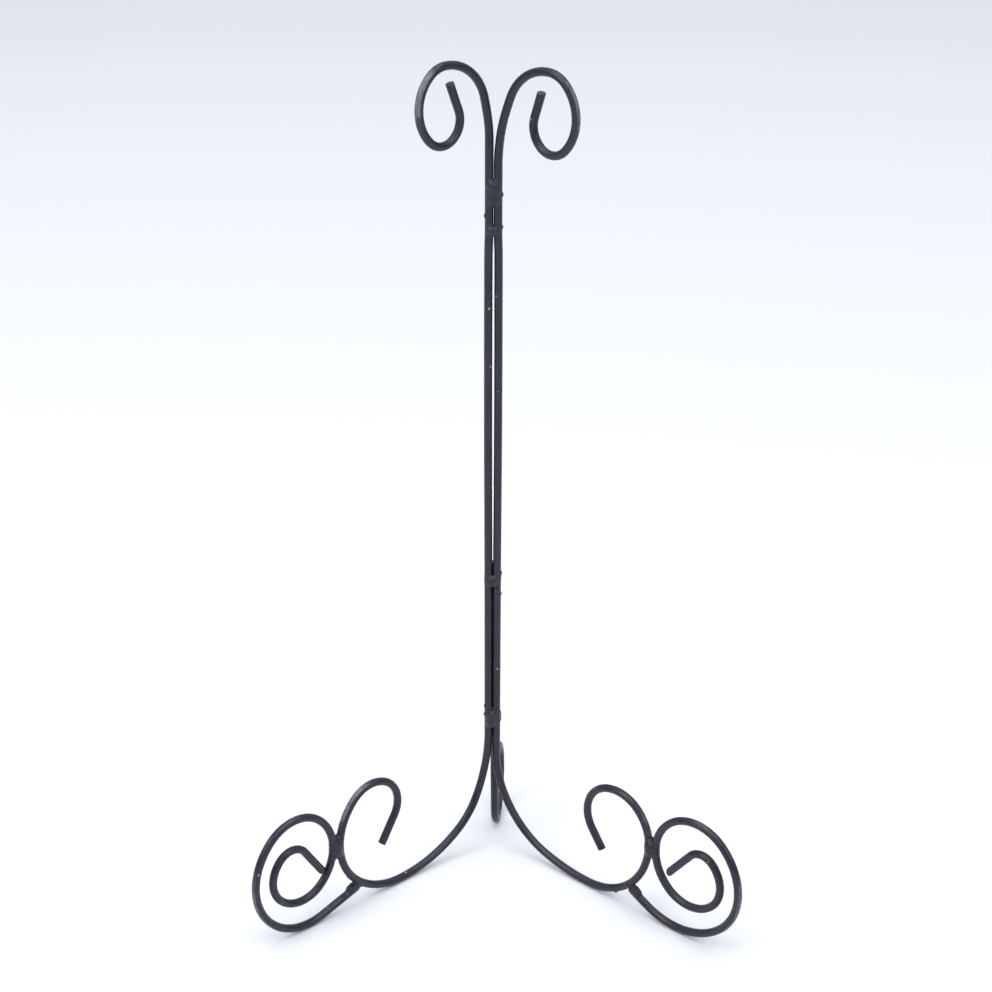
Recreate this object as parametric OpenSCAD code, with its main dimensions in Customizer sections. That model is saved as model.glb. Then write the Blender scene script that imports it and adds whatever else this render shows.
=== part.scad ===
// Welded wire stand for a photo album: two long rods stand side by side as the
// stem, each with a scroll at its head, a swept leg and a front curl that holds
// the album. A scroll is welded outside each curl and a hooked leg stands behind.

/* [Rod and overall size] */
// Diameter of the round steel rod
rod_d = 4.76; // [4:0.01:6]
// Height of the whole stand
stand_height = 488.6; // [400:0.1:620]
// How much lower the right head scroll ends than the left one
head_step = 2.5; // [0:0.1:6]
// Angle between the two front legs, seen from above
leg_spread = 96; // [80:1:116]

/* [Stem] */
// Gap between the two rods where the stem begins
stem_gap = 0.12; // [0.1:0.01:0.4]
// Outward lean of each stem rod, in degrees
stem_lean = 0.08; // [0:0.01:0.2]

/* [Head scrolls, left and right] */
// Radius of the slow bend at the neck
neck_r = [89, 97]; // [70:1:130]
// Angle of the bend at the neck
neck_turn = [14.7, 23.5]; // [12:0.1:28]
// Radius of the bend that climbs to the top
shoulder_r = [26.8, 27.7]; // [22:0.1:36]
// Radius just past the top
brow_r = [16.3, 17.2]; // [14:0.1:24]
// Radius on the outer side of the scroll
cheek_r = [23.4, 24]; // [19:0.1:30]
// Radius under the scroll
chin_r = [11.9, 12.3]; // [10:0.1:16]
// Radius inside the scroll
lip_r = [12.6, 14]; // [10:0.1:16]
// Angle of the bend inside the scroll
lip_turn = [67, 64]; // [56:1:72]
// Straight end inside the scroll
head_tip = [15.2, 14.4]; // [4:0.1:17]

/* [Legs and front curls, left and right] */
// Radius of the first bend below the stem
hip_r = [95, 54]; // [40:1:120]
// Angle of the first bend below the stem
hip_turn = [26.4, 23.3]; // [16:0.1:28]
// Radius of the knee
knee_r = [47, 58.6]; // [36:0.1:70]
// Angle of the knee
knee_turn = [30.2, 51.1]; // [26:0.1:54]
// Radius of the long run down to the ground
shin_r = [80.2, 117]; // [60:0.1:130]
// Radius where the leg rises from the ground
heel_r = [45.3, 43.9]; // [38:0.1:56]
// Radius on the outer side of the front curl
outer_curl_r = [40.2, 45.9]; // [34:0.1:55]
// Radius of the shoulder of the front curl
upper_curl_r = [37.9, 27.8]; // [24:0.1:44]
// Radius over the top of the front curl
crown_curl_r = [18.6, 22.7]; // [16:0.1:26]
// Radius on the side of the front curl that faces the album
inner_curl_r = [18.5, 21.1]; // [15:0.1:24]
// Angle of the bend that faces the album
inner_curl_turn = [107, 111]; // [96:1:116]
// Straight end of the front curl
curl_tip = [17.7, 13.4]; // [8:0.1:20]

/* [Foot scrolls, left and right] */
// Slope of the lead that runs from the leg down to the ground, in degrees
lead_slope = [16.6, 26]; // [12:0.1:28]
// Radius where the scroll touches the ground
sole_r = [33.5, 45]; // [28:0.1:54]
// Radius on the outer side of the scroll
outer_scroll_r = [39.7, 37.8]; // [33:0.1:46]
// Radius over the top of the scroll
top_scroll_r = [23.9, 27.2]; // [22:0.1:30]
// Radius on the side of the scroll next to the curl
near_scroll_r = [30, 29.3]; // [27:0.1:34]
// Radius under the inner turn
inner_under_r = [19.7, 22.2]; // [18:0.1:23]
// Radius on the outer side of the inner turn
inner_side_r = [19.4, 19.7]; // [18:0.1:22]
// Radius over the top of the inner turn
inner_top_r = [10.9, 10.4]; // [9:0.1:12]
// Angle of the bend over the top of the inner turn
inner_top_turn = [102, 96]; // [88:1:104]
// Straight end inside the scroll
scroll_tip = [19.9, 23.2]; // [14:0.1:24]

/* [Rear leg] */
// Height of the rear leg's upper end
rear_top = 190; // [160:1:220]
// Gap between the rear leg and the stem
rear_gap = 0.12; // [0.1:0.01:0.4]
// Sideways lean of the rear leg, in degrees
rear_lean = 0.8; // [0:0.1:2]
// Turn of the rear hook away from straight back, in degrees
rear_turn = 6; // [0:0.5:8]
// Radius where the rear leg turns back
rear_heel_r = 17; // [15:0.1:22]
// Radius of the rear hook behind its foot
rear_sole_r = 24; // [20:0.1:30]
// Radius over the top of the rear hook
rear_crown_r = 23; // [20:0.1:24]
// Radius on the side of the rear hook that faces the stem
rear_inner_r = 10; // [9:0.1:10.5]
// Radius of the rear hook's last bend
rear_end_r = 9; // [8:0.1:10]
// Straight end of the rear hook
rear_tip = 8; // [5:0.1:10]

/* [Welds] */
// Radius of one weld bead
bead_r = 2.1; // [1.8:0.1:2.6]
// Distance from one bead of a weld to the next
bead_pitch = 1.7; // [1.2:0.1:2.4]
// Gap between a front curl and its foot scroll, which the weld fills
curl_gap = 0.3; // [0.2:0.05:0.6]
// Distance from the top of the stand down to the head weld
head_weld_drop = 74.5; // [64:1:90]
// Distance from the top of the stand down to the tack weld
tack_weld_drop = 96; // [92:1:130]
// Distance from the rear leg's upper end down to the middle weld
middle_weld_drop = 10; // [6:1:20]
// Distance from the start of the stem up to the lower weld
lower_weld_rise = 9; // [8:1:20]
// Beads in the head weld
head_beads = 5; // [3:1:6]
// Beads in the tack weld
tack_beads = 2; // [1:1:3]
// Beads in the middle weld
middle_beads = 2; // [1:1:3]
// Beads in the lower weld
lower_beads = 4; // [2:1:4]
// Beads in each weld of the rear leg
rear_beads = 4; // [2:1:4]
// Beads in the weld of each front curl
curl_beads = 3; // [2:1:4]

/* [Hidden] */
$fn = 48;

rod_r = rod_d / 2;
left = -1;
right = 1;
black = [0.10, 0.10, 0.12];
weld_black = [0.16, 0.16, 0.17];

// Each front leg stands in one upright plane, turned forward from the width
plane_turn = 90 - leg_spread / 2;
stem_x = (rod_d + stem_gap) / 2;
down = -90;
up = 90;
inward = 180;

// Turns that the bends share
eighth = 45;
quarter = 90;
crown_turn = 60;
rear_end_turn = 80;

// A bend is [radius, turn] and a straight is [length, 0], and each ends in a short
// straight joint. A place on a rod is [across, height, heading], with the heading
// anticlockwise from outward.
joint_length = 0.4;
joint_swell = 0.02;
joint_lap = 0.04;
function after_bend(place, bend) =
    let (
        side = sign(bend[1]),
        heading = place[2] + bend[1],
        across = place[0] + bend[0] * cos(place[2] + 90 * side),
        height = place[1] + bend[0] * sin(place[2] + 90 * side)
    )
    [
        across - bend[0] * cos(heading + 90 * side),
        height - bend[0] * sin(heading + 90 * side),
        heading
    ];
function after_straight(place, length) =
    [place[0] + length * cos(place[2]), place[1] + length * sin(place[2]), place[2]];
function after_joint(place) = after_straight(place, joint_length);
function after_step(place, step) =
    after_joint(step[1] == 0 ? after_straight(place, step[0]) : after_bend(place, step));
function run_end(place, steps, i = 0) =
    i == len(steps) ? place : run_end(after_step(place, steps[i]), steps, i + 1);

// The left or the right value of a pair
function for_side(side, pair) = pair[side == left ? 0 : 1];

// The leg from the stem to the ground, and the curl from the ground to its end
function leg_steps(side) =
    let (hip = for_side(side, hip_turn), knee = for_side(side, knee_turn))
    [
        [for_side(side, hip_r), hip + stem_lean],
        [for_side(side, knee_r), knee],
        [for_side(side, shin_r), up - hip - knee]
    ];
function curl_side_steps(side) = [
    [for_side(side, heel_r), eighth],
    [for_side(side, outer_curl_r), eighth]
];
function curl_steps(side) = concat(curl_side_steps(side), [
    [for_side(side, upper_curl_r), eighth],
    [for_side(side, crown_curl_r), crown_turn],
    [for_side(side, inner_curl_r), for_side(side, inner_curl_turn)],
    [for_side(side, curl_tip), 0]
]);
function leg_end(side) = run_end(after_joint([0, 0, down - stem_lean]), leg_steps(side));
function stem_start(side) = [0, rod_r - leg_end(side)[1], up - stem_lean];
function leg_start(side) = [0, rod_r - leg_end(side)[1], down - stem_lean];
function ground_place(side) = [leg_end(side)[0], rod_r, 0];
function curl_side_place(side) = run_end(ground_place(side), curl_side_steps(side));

// The head scroll, from the end of the stem round to its tip
function climb_steps(side) =
    let (turn = for_side(side, neck_turn))
    [
        [for_side(side, neck_r), stem_lean - turn],
        [for_side(side, shoulder_r), turn - up]
    ];
function head_steps(side) = concat(climb_steps(side), [
    [for_side(side, brow_r), -eighth],
    [for_side(side, cheek_r), -quarter],
    [for_side(side, chin_r), -quarter],
    [for_side(side, lip_r), -for_side(side, lip_turn)],
    [for_side(side, head_tip), 0]
]);
function head_top(side) = stand_height - rod_r - (side == right ? head_step : 0);
function climb(side) = run_end(after_joint([0, 0, up - stem_lean]), climb_steps(side))[1];
function stem_length(side) =
    (head_top(side) - climb(side) - stem_start(side)[1]) / cos(stem_lean);

// The foot scroll stands on the ground just outside the curl it is welded to
function scroll_steps(side) = [
    [for_side(side, sole_r), eighth],
    [for_side(side, outer_scroll_r), quarter],
    [for_side(side, top_scroll_r), quarter],
    [for_side(side, near_scroll_r), quarter],
    [for_side(side, inner_under_r), quarter],
    [for_side(side, inner_side_r), quarter],
    [for_side(side, inner_top_r), for_side(side, inner_top_turn)],
    [for_side(side, scroll_tip), 0]
];
near_step = 3;
function scroll_near_steps(side) = concat(
    [for (i = [0 : near_step - 1]) scroll_steps(side)[i]],
    [[for_side(side, near_scroll_r), eighth]]
);
function scroll_back(side) = run_end([0, 0, 0], scroll_near_steps(side))[0];
function scroll_place(side) =
    [curl_side_place(side)[0] + rod_d + curl_gap - scroll_back(side), rod_r, 0];
function scroll_near_place(side) = run_end(scroll_place(side), scroll_near_steps(side));
function lead_start(side) = [scroll_place(side)[0], rod_r, inward];
function lead_bend(side) = [for_side(side, sole_r), -for_side(side, lead_slope)];
function lead_place(side) = run_end(after_joint(lead_start(side)), [lead_bend(side)]);

// The lead runs back until its square end meets the underside of the rising leg
lead_bite = 0.6;
function lead_length(side) =
    let (
        bend_radius = for_side(side, heel_r),
        radius = bend_radius + rod_d - lead_bite,
        across = lead_place(side)[0] - ground_place(side)[0],
        height = lead_place(side)[1] - rod_r - bend_radius,
        along = across * cos(lead_place(side)[2]) + height * sin(lead_place(side)[2]),
        away = across * across + height * height - radius * radius
    )
    -along - sqrt(along * along - away);
function lead_steps(side) = [
    lead_bend(side),
    [lead_length(side), 0]
];
function lead_end(side) = after_straight(lead_place(side), lead_length(side));

// The rear leg, with its place measured back from its own straight part
rear_y = rod_d + rear_gap;
rear_straight = rear_top - joint_length - rear_heel_r - rod_r;
rear_steps = [
    [rear_straight, 0],
    [rear_heel_r, quarter],
    [rear_sole_r, quarter],
    [rear_crown_r, quarter],
    [rear_inner_r, quarter],
    [rear_end_r, rear_end_turn],
    [rear_tip, 0]
];

// Welds on the stem
weld_seat = 1.9;
weld_back = 0.5;
groove_out = 1.2;

// Welds on the feet, with bores cut finely enough to fit the bends
curl_bead_extra = 0.5;
lead_bead_extra = 0.9;
lead_bead_step = 1.05;
lead_bead_rise = 0.5;
fine = 128;
head_weld_z = stand_height - head_weld_drop;
tack_weld_z = stand_height - tack_weld_drop;
middle_weld_z = rear_top - middle_weld_drop;
lower_weld_z = max(stem_start(left)[1], stem_start(right)[1]) + lower_weld_rise;

// Middle of a stem rod, seen from above, at one height
function stem_at(side, z) =
    let (reach = (z - stem_start(side)[1]) * tan(stem_lean))
    [side * (stem_x + reach * cos(plane_turn)), -reach * sin(plane_turn)];
function rear_at(z) = [(rear_top - z) * tan(rear_lean), rear_y];

module straight(length, width = rod_d) {
    rotate([0, 90, 0])
        cylinder(h = length, d = width);
}

module arc(radius, turn) {
    side = sign(turn);
    translate([0, radius * side, 0])
        rotate([0, 0, -90 * side + min(turn, 0)])
            rotate_extrude(angle = abs(turn))
                translate([radius, 0])
                    circle(d = rod_d);
}

module at_place(place) {
    translate([place[0], place[1], 0])
        rotate([0, 0, place[2]])
            children();
}

// A joint is a hair fatter than the rod and laps a little over the bends that it joins
module joint(place) {
    at_place(after_straight(place, -joint_lap))
        straight(joint_length + 2 * joint_lap, rod_d + 2 * joint_swell);
}

// One rod, bent step by step from a place on it. first and last pick out part of it.
module bent_rod(place, steps, first = 0, last = undef, i = 0) {
    end = is_undef(last) ? len(steps) - 1 : last;
    if (i <= end) {
        if (i >= first)
            at_place(place)
                if (steps[i][1] == 0)
                    straight(steps[i][0]);
                else
                    arc(steps[i][0], steps[i][1]);
        if (i > first)
            joint(after_straight(place, -joint_length));
        bent_rod(after_step(place, steps[i]), steps, first, end, i + 1);
    }
}

// Stands a flat bent shape up in the plane of one front leg
module in_leg_plane(side) {
    mirror([side == left ? 1 : 0, 0, 0])
        translate([stem_x, 0, 0])
            rotate([90, 0, -plane_turn])
                children();
}

module main_rod(side) {
    in_leg_plane(side) {
        bent_rod(stem_start(side), concat([[stem_length(side), 0]], head_steps(side)));
        joint(leg_start(side));
        bent_rod(after_joint(leg_start(side)), concat(leg_steps(side), curl_steps(side)));
    }
}

module stem_rod(side) {
    in_leg_plane(side)
        bent_rod(stem_start(side), [[stem_length(side), 0]]);
}

module foot_scroll(side) {
    in_leg_plane(side) {
        bent_rod(scroll_place(side), scroll_steps(side));
        joint(lead_start(side));
        bent_rod(after_joint(lead_start(side)), lead_steps(side));
    }
}

module rear_rod(steps) {
    translate([0, rear_y, rear_top])
        rotate([0, -rear_lean, 0])
            rotate([90, 0, 90 - rear_turn])
                bent_rod([0, 0, down], steps);
}

// A row of beads, one over another, centred on a height
module beads(count, radius = bead_r) {
    for (i = [0 : count - 1])
        translate([0, 0, (i - (count - 1) / 2) * bead_pitch])
            sphere(r = radius);
}

// A weld in the front groove of the stem, cut off flat where it meets the rear leg's side
module stem_weld(z, count) {
    front = stem_at(left, z)[1];
    color(weld_black)
        difference() {
            translate([0, front - weld_seat, z])
                beads(count);
            stem_rod(left);
            stem_rod(right);
            translate([0, front - weld_back + rod_d, z])
                cube([rod_d * 2, rod_d * 2, rod_d * count * 2], center = true);
        }
}

// Middle of the groove between the rear leg and one stem rod
function groove_at(side, z) =
    let (
        front = stem_at(side, z),
        back = rear_at(z),
        along = (back - front) / norm(back - front)
    )
    (front + back) / 2 + groove_out * side * [along[1], -along[0]];

// Welds in both grooves between the rear leg and the stem
module rear_leg_weld(z) {
    color(weld_black)
        difference() {
            for (side = [left, right])
                translate([groove_at(side, z)[0], groove_at(side, z)[1], z])
                    beads(rear_beads);
            stem_rod(left);
            stem_rod(right);
            rear_rod([rear_steps[0]]);
        }
}

// The weld between a front curl and its foot scroll
module curl_weld(side) {
    middle_across = curl_side_place(side)[0] + (rod_d + curl_gap) / 2;
    middle_height = (curl_side_place(side)[1] + scroll_near_place(side)[1]) / 2;
    color(weld_black)
        in_leg_plane(side)
            difference() {
                translate([middle_across, middle_height, 0])
                    rotate([90, 0, 0])
                        beads(curl_beads, bead_r + curl_bead_extra, $fn = fine);
                bent_rod(ground_place(side), curl_steps(side), first = 1, last = 2, $fn = fine);
                bent_rod(
                    scroll_place(side),
                    scroll_steps(side),
                    first = near_step,
                    last = near_step,
                    $fn = fine
                );
            }
}

// The weld round the end of the lead, where it meets the leg
module lead_weld(side) {
    color(weld_black)
        in_leg_plane(side)
            difference() {
                translate([lead_end(side)[0], lead_end(side)[1] + rod_r, 0])
                    rotate([0, 0, -for_side(side, lead_slope)])
                        for (bead = [-1, 1])
                            translate([bead * lead_bead_step, 0, bead * lead_bead_rise])
                                sphere(r = bead_r + lead_bead_extra);
                bent_rod(ground_place(side), curl_steps(side), last = 1, $fn = fine);
                bent_rod(lead_place(side), [[lead_length(side), 0]], $fn = fine);
            }
}

module left_main_rod() {
    color(black)
        main_rod(left);
}

module right_main_rod() {
    color(black)
        main_rod(right);
}

module left_foot_scroll() {
    color(black)
        foot_scroll(left);
}

module right_foot_scroll() {
    color(black)
        foot_scroll(right);
}

module rear_leg() {
    color(black)
        rear_rod(rear_steps);
}

module head_weld() stem_weld(head_weld_z, head_beads);
module tack_weld() stem_weld(tack_weld_z, tack_beads);
module middle_weld() stem_weld(middle_weld_z, middle_beads);
module lower_weld() stem_weld(lower_weld_z, lower_beads);
module rear_leg_upper_weld() rear_leg_weld(middle_weld_z);
module rear_leg_lower_weld() rear_leg_weld(lower_weld_z);
module left_curl_weld() curl_weld(left);
module right_curl_weld() curl_weld(right);
module left_lead_weld() lead_weld(left);
module right_lead_weld() lead_weld(right);

left_main_rod();
right_main_rod();
left_foot_scroll();
right_foot_scroll();
rear_leg();
head_weld();
tack_weld();
middle_weld();
lower_weld();
rear_leg_upper_weld();
rear_leg_lower_weld();
left_curl_weld();
right_curl_weld();
left_lead_weld();
right_lead_weld();
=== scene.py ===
"""Visual model of a welded wire stand for a photo album.

Five bent steel rods and the weld puddles that hold them together, all under one
coat of black paint, on a pale studio floor. Sizes are in millimetres and degrees
while a rod is laid out, and in metres, Blender's own unit, once a mesh is made.
"""

import logging
import math
import random
from dataclasses import dataclass, field
from enum import Enum
from typing import Callable

import bpy
import numpy as np
from mathutils import Matrix, Vector, noise


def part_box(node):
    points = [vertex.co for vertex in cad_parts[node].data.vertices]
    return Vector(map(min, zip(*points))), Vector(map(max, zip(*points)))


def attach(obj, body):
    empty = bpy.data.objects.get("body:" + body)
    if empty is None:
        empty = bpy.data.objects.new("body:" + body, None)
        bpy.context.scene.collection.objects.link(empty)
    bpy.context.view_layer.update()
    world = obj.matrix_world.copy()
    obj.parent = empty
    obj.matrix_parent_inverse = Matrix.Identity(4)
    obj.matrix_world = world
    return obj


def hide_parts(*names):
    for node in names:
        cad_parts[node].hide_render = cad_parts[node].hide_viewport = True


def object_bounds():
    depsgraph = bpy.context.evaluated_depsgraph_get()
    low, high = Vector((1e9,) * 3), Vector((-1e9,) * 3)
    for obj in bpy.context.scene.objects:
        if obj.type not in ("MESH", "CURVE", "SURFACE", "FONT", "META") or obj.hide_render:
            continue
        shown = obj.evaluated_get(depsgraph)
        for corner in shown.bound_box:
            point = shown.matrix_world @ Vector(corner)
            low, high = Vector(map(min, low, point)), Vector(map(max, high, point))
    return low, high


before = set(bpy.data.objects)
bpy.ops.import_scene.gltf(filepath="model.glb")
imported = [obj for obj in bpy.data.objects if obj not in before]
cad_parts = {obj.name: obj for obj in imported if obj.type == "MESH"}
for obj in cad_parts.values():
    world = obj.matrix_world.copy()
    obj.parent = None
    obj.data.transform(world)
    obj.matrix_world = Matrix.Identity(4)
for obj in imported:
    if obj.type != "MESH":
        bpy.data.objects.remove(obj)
CAD_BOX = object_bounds()

MM = 0.001
UP = 90.0
DOWN = -90.0
OUTWARD = 0.0
INWARD = 180.0

log = logging.getLogger("album_stand")


class Side(Enum):
    """The left or the right half of the stand, seen from the front."""

    LEFT = -1
    RIGHT = 1

    @property
    def label(self) -> str:
        """The word that node names begin with."""
        return self.name.lower()


class Cut(Enum):
    """How the end of a rod was cut. The value is the slant of the cut, in degrees."""

    SQUARE = 4.0
    SHEARED = 13.0
    POINTED = 40.0


# ---------------------------------------------------------------------------
# Laying out bent rods
# ---------------------------------------------------------------------------


@dataclass(frozen=True)
class Step:
    """One bend, a radius and its turn, or one straight, a length with no turn."""

    size: float
    turn: float = 0.0

    @property
    def length(self) -> float:
        """Length of rod in the step, in millimetres."""
        return self.size * math.radians(abs(self.turn)) if self.turn else self.size


@dataclass(frozen=True)
class Place:
    """A place on a rod, with the heading anticlockwise from outward."""

    across: float
    height: float
    heading: float

    def ahead(self, length: float) -> "Place":
        """The place that lies straight ahead.

        Args:
            length: distance to go, in millimetres.

        Returns:
            The new place, with the same heading.
        """
        angle = math.radians(self.heading)
        return Place(
            self.across + length * math.cos(angle),
            self.height + length * math.sin(angle),
            self.heading,
        )

    def along(self, step: Step, share: float = 1.0) -> "Place":
        """The place part of the way along a step.

        Args:
            step: the bend or straight to follow.
            share: how much of the step to follow, from 0 to 1.

        Returns:
            The place reached.
        """
        if not step.turn:
            return self.ahead(step.size * share)
        side = math.copysign(90.0, step.turn)
        heading = self.heading + step.turn * share
        start = math.radians(self.heading + side)
        end = math.radians(heading + side)
        return Place(
            self.across + step.size * (math.cos(start) - math.cos(end)),
            self.height + step.size * (math.sin(start) - math.sin(end)),
            heading,
        )


@dataclass(frozen=True)
class Rod:
    """The round steel rod that every piece of the stand is bent from."""

    diameter: float = 4.76
    joint: float = 0.4
    spacing: float = 1.0
    sides: int = 28

    @property
    def radius(self) -> float:
        """Half of the diameter."""
        return self.diameter / 2

    def run_end(self, place: Place, steps: list[Step]) -> Place:
        """The place where a run of steps ends.

        Args:
            place: where the run starts.
            steps: its bends and straights.

        Returns:
            The place at its end.
        """
        for step in steps:
            place = place.along(step).ahead(self.joint)
        return place


@dataclass
class Route:
    """The centre line of a rod, in millimetres in the frame, one row for each ring."""

    points: np.ndarray
    inward: np.ndarray
    normal: np.ndarray
    bend: np.ndarray
    step: np.ndarray

    @classmethod
    def traced(cls, rod: Rod, place: Place, steps: list[Step], matrix: Matrix) -> "Route":
        """Follows steps from a place, in a flat plane, and stands the plane up.

        Args:
            rod: the rod, which gives the ring spacing and the length of the joints.
            place: where the run starts.
            steps: its bends and straights.
            matrix: stands the plane up in the frame.

        Returns:
            The route of the run.
        """
        places, bends, numbers = [place], [steps[0].turn], [0.0]
        for number, step in enumerate(steps):
            count = max(2, math.ceil(step.length / rod.spacing))
            for ring in range(1, count + 1):
                places.append(place.along(step, ring / count))
                bends.append(step.turn)
                numbers.append(number + ring / count)
            place = place.along(step).ahead(rod.joint)
            if number < len(steps) - 1:
                places.append(place)
                bends.append(step.turn)
                numbers.append(number + 1.0)
        turn = matrix.to_3x3()
        points = [matrix @ Vector((spot.across, spot.height, 0)) for spot in places]
        headings = [math.radians(spot.heading + 90) for spot in places]
        inward = [turn @ Vector((math.cos(angle), math.sin(angle), 0)) for angle in headings]
        return cls(
            np.array([tuple(point) for point in points]),
            np.array([tuple(side) for side in inward]),
            np.array(tuple(turn @ Vector((0, 0, 1)))),
            np.sign(np.array(bends)),
            np.array(numbers),
        )

    def backwards(self) -> "Route":
        """The same route, followed from its end to its start."""
        return Route(
            self.points[::-1], -self.inward[::-1], self.normal, -self.bend[::-1], self.step[::-1]
        )

    def then(self, other: "Route", shift: float) -> "Route":
        """This route, followed by another that starts near where it ends.

        Args:
            other: the route to go on with.
            shift: what to add to the other route's step numbers.

        Returns:
            One route.
        """
        return Route(
            np.vstack([self.points, other.points]),
            np.vstack([self.inward, other.inward]),
            self.normal,
            np.concatenate([self.bend, other.bend]),
            np.concatenate([self.step, other.step + shift]),
        )

    @property
    def distance(self) -> np.ndarray:
        """Distance of each ring from the start, in millimetres."""
        gaps = np.linalg.norm(np.diff(self.points, axis=0), axis=1)
        return np.concatenate([[0.0], np.cumsum(gaps)])

    @property
    def tangents(self) -> np.ndarray:
        """The direction of the rod at each ring."""
        return np.cross(self.inward, self.normal)

    def near(self, low: np.ndarray, high: np.ndarray, reach: float) -> np.ndarray:
        """The short lengths of the rod that pass through a box.

        Args:
            low: the box's lowest corner.
            high: its highest corner.
            reach: how far outside the box still counts.

        Returns:
            Pairs of points, one row for each short length.
        """
        ends = self.points[::2]
        pairs = np.stack([ends[:-1], ends[1:]], axis=1)
        middle = pairs.mean(axis=1)
        inside = np.all((middle > low - reach) & (middle < high + reach), axis=1)
        return pairs[inside]


@dataclass(frozen=True)
class Rub:
    """A pale grey stretch on the outside of the bends: scuffed paint, and on the head loops a
    painted highlight.
    """

    start: float
    end: float
    strength: float
    tilt: float = 0.0


@dataclass(frozen=True)
class Sweep:
    """Turns a route into the mesh of a rod that was bent, cut and painted by hand."""

    rod: Rod
    seed: int
    start_cut: Cut = Cut.SQUARE
    end_cut: Cut = Cut.SQUARE
    wear_and_highlights: tuple[Rub, ...] = ()
    swell: float = 0.035
    flattening: float = 0.05
    fade: float = 4.0
    slow_swell: float = 0.06
    quick_swell: float = 0.33
    quick_share: float = 0.8
    around_swell: float = 0.9
    wear_and_highlight_reach: float = 1.25
    wear_and_highlight_sharpness: float = 1.5
    wear_and_highlight_limit: float = 0.2
    bend_blur: int = 4
    end_clearance: float = 0.6
    rim_edge: tuple[float, float] = (0.8, 1.0)
    rim_wear: float = 0.35
    cap_wear: float = 0.3
    rim: tuple[tuple[float, float], ...] = (
        (-0.34, 1.0), (-0.12, 0.97), (-0.02, 0.88), (0.0, 0.74), (-0.03, 0.42),
    )

    def _ramp(self, values: np.ndarray, width: float) -> np.ndarray:
        """1 at the end of a rod, smoothly down to 0 a set width from it.

        Args:
            values: distances from the end.
            width: where the ramp reaches 0.

        Returns:
            The height of the ramp at each distance.
        """
        share = np.clip(1 - values / width, 0, 1)
        return share * share * (3 - 2 * share)

    def _wear_and_highlight(self, route: Route, angles: np.ndarray) -> np.ndarray:
        """How pale each vertex is made, for scuffed paint and for painted highlights.

        Args:
            route: the centre line.
            angles: the angle of each vertex of a ring, from the inward side.

        Returns:
            A share from 0 to 1 for every ring and angle.
        """
        worn_and_highlighted_share = np.zeros((len(route.points), len(angles)))
        for rub in self.wear_and_highlights:
            middle, half = (rub.start + rub.end) / 2, abs(rub.end - rub.start) / 2
            along = np.clip(self.wear_and_highlight_reach - np.abs(route.step - middle) / half, 0, 1)
            outside = np.where(route.bend == 0, -1, -route.bend)
            facing = outside[:, None] * np.cos(angles + math.radians(rub.tilt))[None, :]
            shown = np.clip(facing * self.wear_and_highlight_sharpness - self.wear_and_highlight_limit, 0, 1)
            worn_and_highlighted_share = np.maximum(worn_and_highlighted_share, rub.strength * along[:, None] * shown)
        return np.clip(worn_and_highlighted_share, 0, 1)

    def _uneven(self, centres: np.ndarray, angles: np.ndarray) -> np.ndarray:
        """The small swells and dents that bending and painting leave.

        Args:
            centres: the centre of each ring.
            angles: the angle of each vertex of a ring.

        Returns:
            A change of radius for every ring and angle, in millimetres.
        """
        swells = np.empty((len(centres), len(angles)))
        offset = Vector((self.seed * 7.3, self.seed * 1.9, 0))
        for ring, centre in enumerate(centres):
            slow = noise.noise(Vector(centre) * self.slow_swell + offset)
            for number, angle in enumerate(angles):
                around = Vector((math.cos(angle), math.sin(angle), 0)) * self.around_swell
                quick = noise.noise(Vector(centre) * self.quick_swell + around + offset)
                swells[ring, number] = self.swell * (slow + self.quick_share * quick)
        return swells

    def mesh(self, name: str, route: Route) -> bpy.types.Mesh:
        """Builds the closed mesh of the rod.

        Args:
            name: the mesh's name.
            route: the centre line to follow.

        Returns:
            A mesh in metres, with the attributes that the paint reads.
        """
        angles = np.linspace(0, 2 * math.pi, self.rod.sides, endpoint=False)
        distance, tangents = route.distance, route.tangents
        left = distance[-1] - distance
        window = 2 * self.bend_blur + 1
        padded = np.pad(route.bend, self.bend_blur, mode="edge")
        softened = np.convolve(padded, np.ones(window) / window, mode="valid")
        radius = self.rod.radius + self._uneven(route.points, angles)
        radius -= self.flattening * np.abs(softened)[:, None] * np.clip(
            -softened[:, None] * np.cos(angles)[None, :], 0, 1
        )
        start_slant = math.tan(math.radians(self.start_cut.value)) * self.rod.radius
        end_slant = math.tan(math.radians(self.end_cut.value)) * self.rod.radius
        rng = random.Random(self.seed)
        phases = rng.uniform(0, 2 * math.pi), rng.uniform(0, 2 * math.pi)
        slide = end_slant * self._ramp(left, self.fade)[:, None] * (
            np.cos(angles - phases[1]) - 1
        )[None, :] * 0.5
        slide -= start_slant * self._ramp(distance, self.fade)[:, None] * (
            np.cos(angles - phases[0]) - 1
        )[None, :] * 0.5

        offsets = (
            np.cos(angles)[None, :, None] * route.inward[:, None, :]
            + np.sin(angles)[None, :, None] * route.normal[None, None, :]
        )
        body = (
            route.points[:, None, :]
            + radius[:, :, None] * offsets
            + slide[:, :, None] * tangents[:, None, :]
        )
        keep = (distance > self.end_clearance) & (left > self.end_clearance)
        keep[0] = keep[-1] = False
        rings = [body[row] for row in np.flatnonzero(keep)]
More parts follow.
